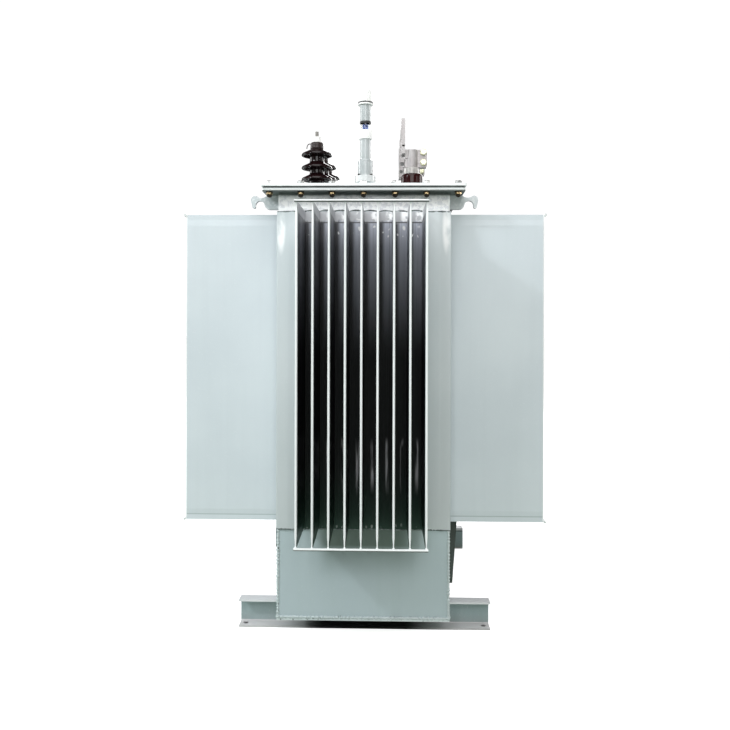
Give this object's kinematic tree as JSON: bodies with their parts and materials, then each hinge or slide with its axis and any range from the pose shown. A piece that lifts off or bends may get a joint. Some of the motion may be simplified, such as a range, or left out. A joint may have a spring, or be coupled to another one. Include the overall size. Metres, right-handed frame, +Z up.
{
  "type": "power transformer",
  "caption": "Sealed oil-filled power transformer: finned tank on base rails, with bushings, clamp terminals and a filler pipe on its bolted cover.",
  "frame": {"origin": "centre of the transformer's outline on the ground, under the tank", "axes": "+Z up, +Y along the tank's length away from the pictured end, +X toward the low voltage row"},
  "size_m": [1.14, 1.628, 1.76],
  "materials": {
    "tank_paint": "light grey paint, satin",
    "rail_paint": "light grey paint, satin",
    "gasket": "matt black",
    "hv_glaze": "dark brown glaze, glossy",
    "lv_glaze": "red-brown glaze, glossy",
    "clamp_casting": "dull cast metal",
    "hv_cap": "dark, satin",
    "stud_metal": "dull, tinned",
    "filler_paint": "light grey paint, satin",
    "white_plastic": "white, semi-gloss",
    "level_glass": "clear"
  },
  "bodies": {
    "root": {"back_corrugated_wall": "tank_paint", "back_fin_rods": "tank_paint", "base_rail_back": "rail_paint", "base_rail_front": "rail_paint", "cover_gasket": "gasket", "cover_plate": "tank_paint", "filler_cap": "white_plastic", "filler_cap_seal": "gasket", "filler_neck": "filler_paint", "filler_pipe": "filler_paint", "filler_union": "white_plastic", "filler_upper_pipe": "filler_paint", "front_corrugated_wall": "tank_paint", "front_fin_rods": "tank_paint", "hv_bushings": "hv_glaze", "hv_caps": "hv_cap", "hv_clamp_rings": "clamp_casting", "hv_studs": "stud_metal", "left_corrugated_wall": "tank_paint", "left_fin_rods": "tank_paint", "level_glass": "level_glass", "level_glass_ring": "gasket", "lifting_hook_back_left": "tank_paint", "lifting_hook_back_right": "tank_paint", "lifting_hook_front_left": "tank_paint", "lifting_hook_front_right": "tank_paint", "lv_bushings": "lv_glaze", "lv_studs": "stud_metal", "lv_terminal_clamps": "clamp_casting", "nameplate_bracket": "tank_paint", "right_corrugated_wall": "tank_paint", "right_fin_rods": "tank_paint", "tank_body": "tank_paint", "tank_bottom_plate": "tank_paint", "tank_collar": "tank_paint", "tank_flange": "tank_paint"}
  },
  "joints": []
}
